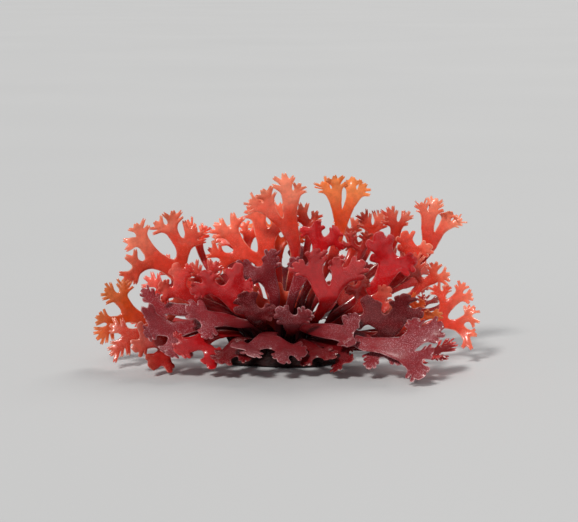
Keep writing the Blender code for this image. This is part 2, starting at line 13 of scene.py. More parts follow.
import bpy
import numpy as np
from mathutils import Matrix, Vector, kdtree, noise
from mathutils.bvhtree import BVHTree

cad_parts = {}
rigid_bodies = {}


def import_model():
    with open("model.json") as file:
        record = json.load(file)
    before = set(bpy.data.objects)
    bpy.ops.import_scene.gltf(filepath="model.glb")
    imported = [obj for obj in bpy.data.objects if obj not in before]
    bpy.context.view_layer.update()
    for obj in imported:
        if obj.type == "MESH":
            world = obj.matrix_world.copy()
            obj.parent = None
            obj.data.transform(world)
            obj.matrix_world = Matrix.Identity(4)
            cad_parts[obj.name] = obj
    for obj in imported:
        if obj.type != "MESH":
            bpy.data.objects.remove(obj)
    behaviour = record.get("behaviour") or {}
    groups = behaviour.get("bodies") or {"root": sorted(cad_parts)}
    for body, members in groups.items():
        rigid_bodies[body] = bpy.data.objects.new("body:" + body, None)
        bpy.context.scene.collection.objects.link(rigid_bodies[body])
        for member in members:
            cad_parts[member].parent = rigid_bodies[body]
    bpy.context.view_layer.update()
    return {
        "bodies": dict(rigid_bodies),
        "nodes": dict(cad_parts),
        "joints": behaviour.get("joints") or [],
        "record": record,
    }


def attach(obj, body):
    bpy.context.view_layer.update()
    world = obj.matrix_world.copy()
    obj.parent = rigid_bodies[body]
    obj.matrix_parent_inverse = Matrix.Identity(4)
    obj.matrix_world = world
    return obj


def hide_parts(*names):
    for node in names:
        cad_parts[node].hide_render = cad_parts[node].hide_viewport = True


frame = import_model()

MM = 0.001
SEED = 11

# The finer form: how often the middle surface is split, and how its faces and margins move.
# All the fronds sway together, so that they keep clear of each other
SPLITS = 2
SWAY = 1.3 * MM
SWAY_LENGTH = 12 * MM
SWAY_FREE = 12 * MM
SWAY_SEEDS = (401, 402, 403)
MARGIN = 1.1 * MM
MARGIN_THICKNESS = 0.36
ROUND_EDGE = 0.10 * MM
RUFFLE = 0.30 * MM
RUFFLE_LENGTH = 7 * MM
RUFFLE_SEED = 100
CURL = 1.0 * MM
CURL_MARGIN = 2.2 * MM
CURL_LENGTH = 9 * MM
CURL_SEED = 200
WOBBLE = 0.22 * MM
WOBBLE_LENGTH = 2.2 * MM
STIFF_STIPE = 0.5
FOOT_SINK = 1.1 * MM
FOOT_FLARE = 1.5

# The finer crust: how often it is split, and how high and how far apart its knobs are
CRUST_SPLITS = 3
KNOB = 0.9 * MM
KNOB_LENGTH = 4 * MM
KNOB_FREE = 1.5 * MM

# Where along a finger it is widest, and how its teeth stand beside each other, as shares of its tip
FINGER_MIDDLE = 0.58
TOOTH_LEAN = 0.75
TOOTH_HALF = 0.30
TOOTH_LENGTHS = (0.15, 0.65)
LOBE_BULGE = 0.10

# A style whose fingertips are wider than this share of their base has lobes, not teeth
LOBED = 0.6

# Up a stipe, above the ground and out from the middle, the flesh is wholly dark up to the first distance, and
# no longer dark from the second one on. Up a stipe this is older flesh and painted shade together; low above
# the ground and near the middle of the tuft it is painted shade
OLD_AND_SHADED_STIPE = (6.25 * MM, 31.25 * MM)
PAINTED_SHADE_HEIGHT = (3.3 * MM, 36.3 * MM)
PAINTED_SHADE_REACH = (21.2 * MM, 74.2 * MM)
OLD_AND_SHADED_COLOUR = (0.012, 0.003, 0.004)

# How big the patches in the flesh's colour and the grains of its skin are
DRIFT_SIZE = 9 * MM
MOTTLE_SIZE = 2.4 * MM
BLOOM_SIZE = 11 * MM
SPECK_SIZE = 0.6 * MM
PALE_SIZE = 4 * MM
GRAIN_SIZE = 0.42 * MM
SKIN_SIZE = 1.3 * MM

# The camera: a long lens in front of the tuft, a little above it. The frame's width is at the tuft
CAMERA_ELEVATION = math.radians(8)
CAMERA_DISTANCE = 1.0
FRAME_WIDTH = 0.2757
SENSOR = 36
AIM = Vector((0.0024, 0, 0.0472 / math.cos(CAMERA_ELEVATION)))

# Half the floor's width, enough to fill the whole picture, and the even light all around
FLOOR = 30
SKY_COLOUR = (0.82, 0.85, 0.88, 1)
SKY_STRENGTH = 0.30

# The whole tuft: half its width, half its depth and its height
TUFT_HALF_WIDTH = 95 * MM
TUFT_HALF_DEPTH = 66 * MM
TUFT_HEIGHT = 92 * MM

# The crust that the fronds grow from: a low, lumpy mound with a flat bottom
CRUST_HALF_WIDTH = 31 * MM
CRUST_HALF_DEPTH = 23 * MM
CRUST_HEIGHT = 6.0 * MM
CRUST_SIDES = 26
CRUST_RINGS = ((1.0, 0.0), (1.04, 0.22), (1.0, 0.5), (0.86, 0.78), (0.6, 0.93), (0.3, 1.0))
CRUST_LUMPS = 0.06

# Where the stipes stand on the crust, and how far above it
FOOT_WIDTH = 2.8 * MM
FOOT_THICKNESS = 1.6 * MM
FOOT_SPACING = 3.6 * MM
FOOT_GAP = 0.3 * MM
FOOT_RISE = 5.0 * MM
FOOT_REACH = 0.86
FOOT_TRIES = 80
GOLDEN_ANGLE = math.radians(137.5)
STIPE_ROW = 13.5 * MM

# How thick a blade is, and how thin its fingertips get
BLADE_THICKNESS = 0.8 * MM
TIP_THICKNESS = 0.65 * MM

# How far a blade's middle surface stays from another frond's, from its own, and from the ground
CLEAR_OF_OTHERS = 1.8 * MM
CLEAR_OF_ITSELF = 1.2 * MM
CLEAR_OF_GROUND = 1.1 * MM
SAMPLE_STEP = 1.1 * MM

# How a blade widens on its way to a fork, how much of a limb lies before the next one,
# and how much wider than the others the first fork spreads
STIPE_FLARE = 1.15
STIPE_WIDENING = 2.2
LIMB_FLARE = 1.08
LIMB_BEFORE_FORK = 0.45
FIRST_SPREAD = 1.15

# A hand, the end of a limb: fingers along its palm and one at its tip, but none beside the axil.
# A limb with no room for a hand ends in a stump, as long as this share of half its width
FINGER_ANGLES = (math.radians(54), math.radians(40), math.radians(30))
LAST_FINGER = 0.8
NOTCH = 0.82
STUMP = 0.2

# Around an axil, the two limbs of a fork may be as close as they like
AXIL_REACH = 2.4 * MM

# The ways a limb tries to bend, sway and twist, in degrees beyond its own, until one is clear
WAYS = (
    (0, 0, 0), (16, 0, 0), (-16, 0, 0), (0, 16, 0), (0, -16, 0),
    (30, 0, 14), (-30, 0, -14), (0, 30, 0), (0, -30, 0), (24, 24, 0), (24, -24, 0),
    (-24, 24, 0), (-24, -24, 0), (50, 0, 0), (-50, 0, 0), (66, 0, 24), (-66, 0, -24),
)

HAND_TRIES = [(scale, way) for scale in (1.0, 0.85, 0.7) for way in WAYS[:5]]
HAND_TRIES += [(scale, way) for scale in (0.9, 0.6, 0.45) for way in WAYS]

# The ways a stipe tries to bow, as shares of its length to its side and to its face
STIPE_WAYS = (
    (0, 0), (0.10, 0), (-0.10, 0), (0, 0.10), (0, -0.10), (0.22, 0), (-0.22, 0), (0, 0.2), (0, -0.2),
    (0.15, 0.15), (-0.15, 0.15), (0.15, -0.15), (-0.15, -0.15), (0.32, 0), (-0.32, 0), (0, 0.32), (0, -0.32),
)

# The places that a first fork tries, in mm from its own
FORK_MOVES = (
    (0, 0, 0), (0, 4, 0), (0, -4, 0), (3, 0, 2), (-3, 0, 2), (0, 0, 4), (0, 7, 0), (0, -7, 0), (0, 5, 4),
    (0, 10, 0), (0, -10, 0), (4, 8, 2), (-4, 8, 2), (4, -8, 2), (-4, -8, 2), (0, 13, 3), (0, -13, 3),
)


class Style(NamedTuple):
    """How a frond forks. Lengths and widths are shares of its fan's size, angles are in degrees."""

    forks: int
    shrink: float
    width: float
    taper: float
    spread: float
    curl: float
    ruffle: float
    notches: tuple
    finger: float
    fingertip: float
    stop: float


#            forks shrink width taper spread curl ruffle notches finger fingertip stop
LACE = Style(3, 0.80, 0.165, 0.86, 60, 4, 8, (1, 2, 2), 0.55, 0.50, 0.1)
FAN = Style(2, 0.80, 0.20, 0.84, 31, 4, 7, (3, 3, 2), 0.60, 0.50, 0.0)
COMB = Style(2, 0.86, 0.19, 0.84, 60, 6, 10, (2, 2, 3), 0.48, 0.50, 0.0)
TWIG = Style(1, 1.00, 0.24, 0.84, 44, 5, 10, (2, 3), 0.42, 0.50, 0.0)
ARMS = Style(2, 0.80, 0.22, 0.90, 54, 7, 14, (2, 2), 0.40, 0.66, 0.0)
LEAF = Style(2, 0.85, 0.33, 0.84, 76, 9, 16, (1, 2, 2), 0.38, 0.66, 0.1)
PALM = Style(1, 1.00, 0.40, 0.84, 76, 12, 16, (2, 2, 3), 0.32, 0.66, 0.0)

CAMERA = Vector((0, -1, 0.22))
HALFWAY = Vector((0, -0.75, 0.65))
SKY = Vector((0, -0.25, 1))
REAR = Vector((0, 1, 0.22))


class Look(NamedTuple):
    """How a kind of frond is coloured, from its foot to its tips, and how its flesh takes the light."""

    slot: str
    foot: tuple
    stem: tuple
    web: tuple
    tip: tuple
    margin: tuple
    bloom: tuple
    margin_share: float
    bloom_share: float
    glow: float
    roughness: float
    coat: float
    grain: float


AMBER = Look(
    "amber_frond", (0.25, 0.005, 0.005), (0.62, 0.018, 0.007), (0.80, 0.11, 0.014), (0.92, 0.36, 0.11),
    margin=(0.98, 0.62, 0.36), bloom=(0.94, 0.50, 0.32), margin_share=0.28, bloom_share=0.12,
    glow=0.40, roughness=0.34, coat=0.35, grain=0.25,
)
SALMON = Look(
    "salmon_frond", (0.28, 0.003, 0.005), (0.56, 0.005, 0.006), (0.76, 0.072, 0.032), (0.92, 0.35, 0.21),
    margin=(0.98, 0.66, 0.48), bloom=(0.93, 0.46, 0.32), margin_share=0.38, bloom_share=0.18,
    glow=0.37, roughness=0.34, coat=0.45, grain=0.30,
)
CORAL = Look(
    "coral_frond", (0.22, 0.003, 0.005), (0.50, 0.005, 0.007), (0.62, 0.030, 0.022), (0.80, 0.19, 0.12),
    margin=(0.94, 0.48, 0.38), bloom=(0.78, 0.30, 0.25), margin_share=0.30, bloom_share=0.22,
    glow=0.33, roughness=0.30, coat=0.55, grain=0.35,
)
CRIMSON = Look(
    "crimson_frond", (0.20, 0.002, 0.004), (0.66, 0.004, 0.007), (0.60, 0.009, 0.013), (0.58, 0.036, 0.034),
    margin=(0.84, 0.36, 0.34), bloom=(0.60, 0.15, 0.155), margin_share=0.30, bloom_share=0.26,
    glow=0.30, roughness=0.26, coat=0.75, grain=0.45,
)
PLUM = Look(
    "plum_frond", (0.080, 0.002, 0.004), (0.30, 0.004, 0.009), (0.27, 0.009, 0.014), (0.28, 0.018, 0.023),
    margin=(0.78, 0.46, 0.47), bloom=(0.64, 0.31, 0.35), margin_share=0.40, bloom_share=0.62,
    glow=0.20, roughness=0.38, coat=0.30, grain=0.8,
)
MAROON = Look(
    "maroon_frond", (0.055, 0.002, 0.003), (0.19, 0.002, 0.004), (0.16, 0.003, 0.005), (0.21, 0.008, 0.010),
    margin=(0.58, 0.17, 0.16), bloom=(0.46, 0.085, 0.10), margin_share=0.36, bloom_share=0.48,
    glow=0.18, roughness=0.32, coat=0.40, grain=0.8,
)

# How bright the colour of some fronds is, from 0 to 1. That of the others comes from their name. The low
# fronds on the left and middle_low are set dark as painted shade, for the shade of the tuft over them
TINTS_AND_SHADE = {
    "left_amber": 0.0, "left_low_red": 0.0, "left_long_tips": 0.1, "middle_low": 0.0,
    "right_front_palm": 0.2, "right_hook": 0.6, "top_middle": 0.4, "middle_trunk": 0.3,
    "left_middle_sweep": 0.8,
}


class Frond(NamedTuple):
    """One frond: where it first forks in mm, how it grows and faces there, and its fan's size in mm."""

    name: str
    fork: tuple
    growth: tuple
    face: Vector
    size: float
    style: Style
    look: Look
    seed: int = 0


FRONDS = tuple(Frond(*row) for row in (
    # The blades along the front that hang towards the ground
    ("right_front_palm", (49, -38, 21), (-0.05, -0.1, 1), CAMERA, 26, LEAF, MAROON, 6),
    ("right_front_low", (44, -46, 13), (0.25, -0.6, -0.45), CAMERA, 17, PALM, PLUM),
    ("right_front_sweep", (52, -44, 15), (0.95, -0.15, 0.05), HALFWAY, 28, LEAF, PLUM, 3),
    ("right_low_curl", (60, -38, 10), (0.9, -0.3, -0.12), SKY, 24, COMB, CRIMSON),
    ("middle_low", (-8, -42, 18), (0.0, -0.72, -0.45), CAMERA, 27, LEAF, PLUM),
    ("middle_right_low", (27, -42, 13), (0.3, -0.75, -0.25), CAMERA, 19, LEAF, MAROON),
    ("front_right_small", (15, -43, 12), (0.2, -0.7, -0.4), CAMERA, 15, PALM, MAROON),
    ("front_left_small", (-24, -42, 13), (-0.1, -0.7, -0.4), CAMERA, 17, PALM, MAROON),
    ("left_low_maroon", (-38, -40, 16), (-0.3, -0.6, -0.45), CAMERA, 21, LEAF, CRIMSON),
    ("left_low_red", (-54, -34, 16), (-0.7, -0.3, -0.4), CAMERA, 22, LEAF, CORAL),
    ("left_broad", (-50, -32, 21), (-0.85, -0.4, -0.05), HALFWAY, 24, LEAF, PLUM),
    ("left_middle_sweep", (-34, -34, 25), (-0.8, -0.4, 0.1), HALFWAY, 20, PALM, PLUM),
    # The blades along the far side that hang towards the ground
    ("rear_low_far_left", (-58, 28, 15), (-0.8, 0.5, 0.05), SKY, 24, COMB, CORAL),
    ("rear_low_left", (-32, 38, 17), (-0.2, 0.7, -0.42), REAR, 24, LEAF, PLUM),
    ("rear_low_middle", (-4, 41, 18), (0.0, 0.7, -0.45), REAR, 25, LEAF, MAROON),
    ("rear_low_right", (23, 40, 17), (0.15, 0.7, -0.42), REAR, 24, LEAF, PLUM),
    ("rear_low_far_right", (48, 34, 17), (0.7, 0.65, 0.0), SKY, 23, LEAF, CRIMSON),
    ("rear_right_edge", (64, 18, 21), (0.85, 0.3, 0.2), SKY, 24, COMB, CORAL),
    # Two fans of the far side that need their room early
    ("rear_right_fan", (55, 26, 32), (0.6, 0.3, 0.6), REAR, 27, COMB, CORAL),
    ("rear_right_hand", (30, 36, 31), (0.2, 0.5, 0.75), REAR, 24, LEAF, CRIMSON),
    # The middle of the front
    ("middle_trunk", (20, -33, 34), (-0.12, -0.05, 1), CAMERA, 31, ARMS, CRIMSON, 3),
    ("middle_dark_lobes", (-13, -34, 26), (0, -0.3, 0.95), CAMERA, 20, PALM, MAROON),
    ("middle_left_hand", (-27, -22, 33), (0, -0.1, 1), CAMERA, 23, LEAF, CRIMSON),
    ("middle_cup", (4, -38, 23), (-0.05, -0.35, 0.9), CAMERA, 17, PALM, PLUM),
    ("middle_right_reach", (27, -38, 20), (0.9, -0.3, 0.1), HALFWAY, 20, PALM, PLUM),
    ("middle_upper_grey", (-8, -14, 42), (-0.5, -0.25, 0.75), CAMERA, 21, PALM, PLUM),
    ("middle_grey_curl", (8, -18, 44), (0.4, -0.2, 0.8), CAMERA, 15, PALM, PLUM),
    ("upper_middle_palm", (17, -12, 56), (0.1, -0.15, 1), CAMERA, 18, LEAF, CRIMSON),
    ("inner_right", (32, -4, 22), (0.25, 0, 1), CAMERA, 25, LEAF, CORAL),
    ("left_inner", (-40, 2, 22), (-0.25, 0, 1), CAMERA, 25, LEAF, CORAL),
    ("inner_bright", (-9, -6, 22), (-0.1, -0.05, 1), CAMERA, 26, LEAF, SALMON),
    # The right side
    ("right_broad_stem", (50, -8, 46), (0.15, -0.1, 1), CAMERA, 23, PALM, CRIMSON),
    ("right_middle_leaf", (38, -24, 31), (0.2, -0.1, 1), CAMERA, 18, LEAF, CORAL),
    ("right_amber", (62, -22, 22), (0.3, -0.15, 0.93), CAMERA, 18, COMB, AMBER),
    ("right_hook", (74, -8, 19), (0.8, 0, 0.5), CAMERA, 27, LACE, SALMON),
    ("right_inner_stem", (66, -2, 36), (0.5, 0, 0.85), CAMERA, 21, COMB, SALMON),
    ("top_right", (69, 6, 53), (0.2, 0, 1), CAMERA, 24, FAN, SALMON, 2),
    ("right_upper_leaf", (62, -4, 50), (0.05, 0, 1), CAMERA, 16, PALM, SALMON),
    # The tall fans along the top, from left to right
    ("top_left", (-50, 6, 40), (-0.52, 0, 0.86), CAMERA, 40, LACE, SALMON, 2),
    ("top_left_narrow", (-42, 18, 54), (0.0, 0.1, 1), CAMERA, 14, TWIG, SALMON),
    ("upper_left_fan", (-9, 14, 44), (-0.25, 0.05, 0.97), CAMERA, 40, LACE, SALMON, 1),
    ("top_middle", (4, 2, 60), (-0.36, 0, 1), CAMERA, 28, FAN, SALMON, 3),
    ("top_right_middle", (27, 5, 63), (0.06, 0.05, 1), CAMERA, 25, FAN, AMBER, 2),
    ("upper_fork", (12, 14, 62), (-0.1, 0, 1), CAMERA, 15, TWIG, SALMON),
    ("upper_right_cluster", (37, 0, 52), (0, -0.15, 1), CAMERA, 16, COMB, CORAL),
    ("upper_right_fork", (43, 14, 58), (0, 0.05, 1), CAMERA, 17, TWIG, SALMON),
    ("upper_right_thin", (54, 10, 61), (0.05, 0, 1), CAMERA, 16, TWIG, SALMON),
    # The left side
    ("left_amber", (-71, -10, 22), (-0.85, -0.1, 0.5), CAMERA, 26, COMB, AMBER),
    ("left_long_tips", (-70, -22, 16), (-0.9, -0.1, -0.25), CAMERA, 20, TWIG, SALMON),
    ("left_upper_palm", (-57, -22, 29), (-0.9, -0.35, 0.15), HALFWAY, 18, PALM, PLUM),
    ("left_middle_leaf", (-48, -20, 36), (-0.5, -0.2, 0.8), CAMERA, 17, LEAF, CORAL),
    ("left_narrow_stem", (-37, -12, 38), (-0.2, 0, 1), CAMERA, 17, TWIG, CORAL),
    # The upper fans of the far side
    ("rear_top_left", (-20, 26, 48), (-0.15, 0.2, 1), REAR, 23, COMB, SALMON),
    ("rear_top_middle", (-3, 30, 50), (0.1, 0.3, 1), REAR, 26, COMB, AMBER),
    ("rear_top_right", (34, 28, 48), (0.15, 0.2, 1), REAR, 23, COMB, SALMON),
    ("rear_left_fan", (-52, 26, 28), (-0.6, 0.35, 0.6), REAR, 27, COMB, CORAL),
    ("rear_left_hand", (-27, 36, 31), (-0.2, 0.5, 0.75), REAR, 24, LEAF, CRIMSON),
    ("rear_middle_hand", (2, 40, 33), (0.0, 0.6, 0.75), REAR, 24, LEAF, PLUM),
))


class Frame(NamedTuple):
    """A place on a blade: its point, the way it grows, its left side, and the way its face looks."""

    origin: Vector
    along: Vector
    side: Vector
    face: Vector

    def turned(self, angle):
        """Turned to the left in the blade's own plane."""
        turn = Matrix.Rotation(angle, 3, self.face)
        return Frame(self.origin, turn @ self.along, turn @ self.side, self.face)

    def moved(self, ahead, left=0.0):
        return self._replace(origin=self.origin + ahead * self.along + left * self.side)

    def carried(self, step, bend, sway, twist):
        """One short step on, curling towards the face, swaying to the left and rolling."""
        half = Matrix.Rotation(sway / 2, 3, self.face) @ Matrix.Rotation(-bend / 2, 3, self.side)
        origin = self.origin + step * (half @ self.along)
        turn = Matrix.Rotation(sway, 3, self.face) @ Matrix.Rotation(-bend, 3, self.side)
        turn = turn @ Matrix.Rotation(twist, 3, self.along)
        return Frame(origin, turn @ self.along, turn @ self.side, turn @ self.face)


def frame_at(origin, along, face):
    """A frame that grows along one way and looks as nearly as it can the other."""
    along = along.normalized()
    side = face.cross(along).normalized()
    return Frame(origin, along, side, along.cross(side))


def stretch(frame, length, turns):
    """Frames every millimetre or so along a limb, the first one left out."""
    steps = max(2, math.ceil(length / SAMPLE_STEP))
    frames = []
    for _ in range(steps):
        frame = frame.carried(length / steps, *(turn / steps for turn in turns))
        frames.append(frame)
    return frames


def edge(frame, left, right):
    """The two ends of a row, from how far it reaches on each side."""
    return frame.moved(0, left).origin, frame.moved(0, -right).origin


def sheet(lower, upper):
    """Sample points all over the piece of blade between two rows, the lower row left out."""
    longest = max((end - start).length for start, end in zip(lower, upper))
    steps = max(1, math.ceil(longest / SAMPLE_STEP))
    points = []
    for k in range(1, steps + 1):
        left, right = (start.lerp(end, k / steps) for start, end in zip(lower, upper))
        across = max(1, math.ceil((right - left).length / SAMPLE_STEP))
        points += [left.lerp(right, j / across) for j in range(across + 1)]
    return points


def sheets(edges):
    """Sample points all over the blade between rows that follow each other."""
    return [point for lower, upper in zip(edges, edges[1:]) for point in sheet(lower, upper)]


class Blade:
    """A frond's middle surface, built row by row. A row runs from the left edge to the right one."""

    def __init__(self):
        self.points = []
        self.faces = []
        self.thickness = []

    def add(self, point, thickness):
        self.points.append(point)
        self.thickness.append(thickness)
        return len(self.points) - 1

    def row(self, frame, left, right, thickness):
        """Three points across the blade, from how far it reaches on each side."""
        places = [frame.moved(0, reach).origin for reach in (left, (left - right) / 2, -right)]
        return tuple(self.add(place, thickness) for place in places)

    def join(self, lower, upper):
        """Joins two rows. Where their counts differ, triangles take up the difference."""
        i = j = 0
        while i < len(lower) - 1 or j < len(upper) - 1:
            next_lower = (i + 1) / (len(lower) - 1)
            next_upper = (j + 1) / (len(upper) - 1)
            if abs(next_lower - next_upper) < 0.2:
                self.faces.append((lower[i], lower[i + 1], upper[j + 1], upper[j]))
                i += 1
                j += 1
            elif next_upper < next_lower:
                self.faces.append((lower[i], upper[j + 1], upper[j]))
                j += 1
            else:
                self.faces.append((lower[i], lower[i + 1], upper[j]))
                i += 1

    def open_fork(self, row, left, right):
        """Joins a row to the first rows of two limbs, which share the point in the axil."""
        self.faces.append((row[0], row[1], left[1], left[0]))
        self.faces.append((row[1], left[2], left[1]))
        self.faces.append((row[1], right[1], left[2]))
        self.faces.append((row[1], row[2], right[2], right[1]))


class Grown:
    """The points of every frond that has already grown."""

    def __init__(self):
        self.points = []
        self.tree = None

    def add(self, points):
        self.points.extend(points)
        self.tree = tree_of(self.points)

    def clears(self, points):
        if self.tree is None:
            return True
        return all(self.tree.find(point)[2] >= CLEAR_OF_OTHERS for point in points)


class Fork(NamedTuple):
    """How a limb splits in two: each new limb's turn, where it starts, how wide it is and how strong."""

    turns: tuple
    reaches: tuple
    halves: tuple
    vigours: tuple

    def limbs(self, frame):
        return [frame.turned(turn).moved(reach) for turn, reach in zip(self.turns, self.reaches)]

    def rows(self, frame):
        """The first rows of the left and the right limb. Their inner ends are both in the axil."""
        return [edge(limb, half, half) for limb, half in zip(self.limbs(frame), self.halves)]

    def web(self, frame, width):
        """Sample points all over the web between the limb and the two that it splits into."""
        left, right = edge(frame, width / 2, width / 2)
        left_row, right_row = self.rows(frame)
        return sheet((left, frame.origin), left_row) + sheet((frame.origin, right), right_row)


class Limb(NamedTuple):
    """A limb as it leaves its fork: its first row, its axil, and the limb that it grows from."""

    row: tuple
    frame: Frame
    half: float
    axil: Vector
    parent: int
    outward: int
    level: int
    vigour: float


class Growth:
    """One frond as it grows among the others."""

    def __init__(self, spec, grown):
        self.spec = spec
        self.style = spec.style
        self.random = random.Random(f"{SEED} {spec.name} {spec.seed}")
        self.detail = random.Random(f"{SEED} {spec.name} teeth")
        self.grown = grown
        self.blade = Blade()
        self.limbs = []
        size = spec.size * MM
        levels = range(self.style.forks + 1)
        shares = [self.style.shrink**level for level in levels]
        self.lengths = [size * share / sum(shares) for share in shares]
        self.widths = [size * self.style.width * self.style.taper**level for level in levels]

    def clears(self, points, parent=None, axil=None):
        """Whether these points keep off the ground, the other fronds and this one's own far limbs."""
        if min(point.z for point in points) < CLEAR_OF_GROUND:
            return False
        mine = away_from(np.array(points), axil)
        for index, limb in enumerate(self.limbs):
            if index != parent:
                other = away_from(limb, axil)
                apart = mine[:, None, :] - other[None, :, :]
                if apart.size and (apart**2).sum(axis=2).min() < CLEAR_OF_ITSELF**2:
                    return False
        return self.grown.clears(points)

    def keep(self, points):
        self.limbs.append(np.array(points))
        return len(self.limbs) - 1

    def own_turns(self):
        """How this limb would bend, sway and twist if it were alone."""
        ruffle = self.style.ruffle
        return (
            self.style.curl + self.random.uniform(-ruffle, ruffle),
            self.random.uniform(-ruffle, ruffle),
            self.random.uniform(-ruffle, ruffle),
        )

    def plan_fork(self, level):
        """A leader and a side limb, whose inner edges meet in the axil."""
        spread = math.radians(self.style.spread * self.random.uniform(0.85, 1.15))
        if level == 0:
            spread *= FIRST_SPREAD
        share = 0.5 + self.random.choice((-1, 1)) * self.random.uniform(0.04, 0.2)
        lean = share - 0.5
        left, right = (self.widths[level] * (0.93 + turn * 0.8 * lean) / 2 for turn in (-1, 1))
        pairs = ((left, right), (right, left))
        reaches = [(other + own * math.cos(spread)) / math.sin(spread) for own, other in pairs]
        turns = (spread * share, -spread * (1 - share))
        return Fork(turns, reaches, (left, right), (1 - 1.2 * lean, 1 + 1.2 * lean))

    def grow(self, crust, feet):
        """Grows the whole frond, and says whether there was room for it."""
        fork = self.plan_fork(0)
        found = self.stipe(crust, feet, fork)
        if found is None:
            return False
        rows, points = found
        here = self.keep(points)
        foot, half, thickness = rows[0]
        self.foot = foot.origin
        self.first_fork = rows[-1][0].origin
        sunk = foot._replace(origin=foot.origin - Vector((0, 0, FOOT_SINK)))
        row = self.blade.row(sunk, half * FOOT_FLARE, half * FOOT_FLARE, thickness * FOOT_FLARE)
        for frame, half, thickness in rows:
            upper = self.blade.row(frame, half, half, thickness)
            self.blade.join(row, upper)
            row = upper
        self.split(row, rows[-1][0], fork, 0, here)
        self.grown.add([Vector(point) for limb in self.limbs for point in limb])
        return True

    def stipe(self, crust, feet, fork):
        """The stalk from its foot on the crust to the first fork: its rows and sample points, or None."""
        spec = self.spec
        width = self.widths[0] * STIPE_FLARE
        for move in FORK_MOVES:
            end = frame_at((Vector(spec.fork) + Vector(move)) * MM, Vector(spec.growth), spec.face)
            for foot in foot_places(end.origin):
                if any((foot - other).xy.length < FOOT_SPACING for other in feet):
                    continue
                foot.z = crust.height(foot) + FOOT_GAP
                for bow in STIPE_WAYS:
                    rows = stipe_rows(stipe_frames(foot, end, bow), width)
                    points = sheets([edge(frame, half, half) for frame, half, _ in rows])
                    points += fork.web(end, width)
                    if self.clears(points):
                        feet.append(foot)
                        return rows, points
        return None

    def split(self, row, frame, fork, level, parent):
        """Splits a limb at its last row, and grows both of the limbs that come from it."""
        blade = self.blade
        left, right = fork.limbs(frame)
        (outer_left, axil), (_, outer_right) = fork.rows(frame)
        shared = blade.add(axil, BLADE_THICKNESS)
        places = (outer_left, left.origin, right.origin, outer_right)
        ends = [blade.add(place, BLADE_THICKNESS) for place in places]
        left_row = (*ends[:2], shared)
        right_row = (shared, *ends[2:])
        blade.open_fork(row, left_row, right_row)
        self.limb(Limb(left_row, left, fork.halves[0], axil, parent, 1, level, fork.vigours[0]))
        self.limb(Limb(right_row, right, fork.halves[1], axil, parent, -1, level, fork.vigours[1]))

    def limb(self, limb):
        """Grows a limb on from its first row. It forks again, or ends in a hand."""
        length = self.lengths[limb.level] * limb.vigour * self.random.uniform(0.85, 1.15) * LIMB_BEFORE_FORK
        hand_length = self.lengths[-1] * limb.vigour * self.random.uniform(0.9, 1.15)
        if limb.level == self.style.forks - 1 or self.random.random() < self.style.stop * limb.level:
            self.hand(limb, hand_length)
            return
        own = self.own_turns()
        fork = self.plan_fork(limb.level + 1)
        width = limb.half * 2 * LIMB_FLARE
        for way in WAYS:
            frames = stretch(limb.frame, length, turns_of(own, way))
            last = frames[-1]
            points = sheet(edge(limb.frame, limb.half, limb.half), edge(last, width / 2, width / 2))
            points += fork.web(last, width)
            if self.clears(points, limb.parent, limb.axil):
                break
        else:
            self.hand(limb, hand_length)
            return
        row = self.blade.row(last, width / 2, width / 2, BLADE_THICKNESS)
        self.blade.join(limb.row, row)
        self.split(row, last, fork, limb.level + 1, self.keep(points))

    def hand(self, limb, length):
        """Ends a limb in a palm with fingers, all of it smaller where there is no room."""
        blade = self.blade
        own = self.own_turns()
        count = self.random.choice(self.style.notches)
        reaches = [(self.random.uniform(0.7, 1.25), self.random.uniform(0.7, 1.25)) for _ in range(count)]
        for scale, way in HAND_TRIES:
            edges, fingers = self.lay_hand(limb, length * scale, turns_of(own, way), reaches)
            points = sheets(edges)
            points += [point for base, tip in fingers.values() for point in sheet(base, tip)]
            if self.clears(points, limb.parent, limb.axil):
                break
        else:
            stump = limb.half * STUMP
            half = limb.half - stump
            blade.join(limb.row, blade.row(limb.frame.moved(stump), half, half, TIP_THICKNESS))
            return
        self.keep(points)
        lower = limb.row
        for k, ends in enumerate(edges[1:]):
            upper = [blade.add(end, BLADE_THICKNESS) for end in ends]
            blade.join(lower, upper)
            self.finger((lower[0], upper[0]), fingers.get((k, 1)))
            self.finger((upper[1], lower[-1]), fingers.get((k, -1)))
            lower = upper
        self.finger(lower, fingers["tip"])

    def lay_hand(self, limb, length, turns, reaches):
        """The edges of a palm at its notches, and its fingers, each as the two rows that it lies between."""
        palm = stretch(limb.frame, length, turns)
        span = len(reaches) + LAST_FINGER
        notches = [limb.frame]
        notches += [palm[round(k / span * len(palm)) - 1] for k in range(1, len(reaches) + 1)]
        edges = [edge(notch, limb.half * NOTCH**k, limb.half * NOTCH**k) for k, notch in enumerate(notches)]
        fingers = {}
        for k, (left_reach, right_reach) in enumerate(reaches):
            (left, right), (upper_left, upper_right) = edges[k], edges[k + 1]
            sides = ((1, (left, upper_left), left_reach), (-1, (upper_right, right), right_reach))
            for turn, base, reach in sides:
                if k == 0 and turn != limb.outward:
                    continue
                root = notches[k + 1]._replace(origin=(base[0] + base[1]) / 2).turned(turn * FINGER_ANGLES[k])
                finger = stretch(root, length * self.style.finger * reach, (turns[0], 0, 0))
                fingers[k, turn] = (base, self.fingertip(finger[-1], base))
        fingers["tip"] = (edges[-1], self.fingertip(palm[-1], edges[-1]))
        return edges, fingers

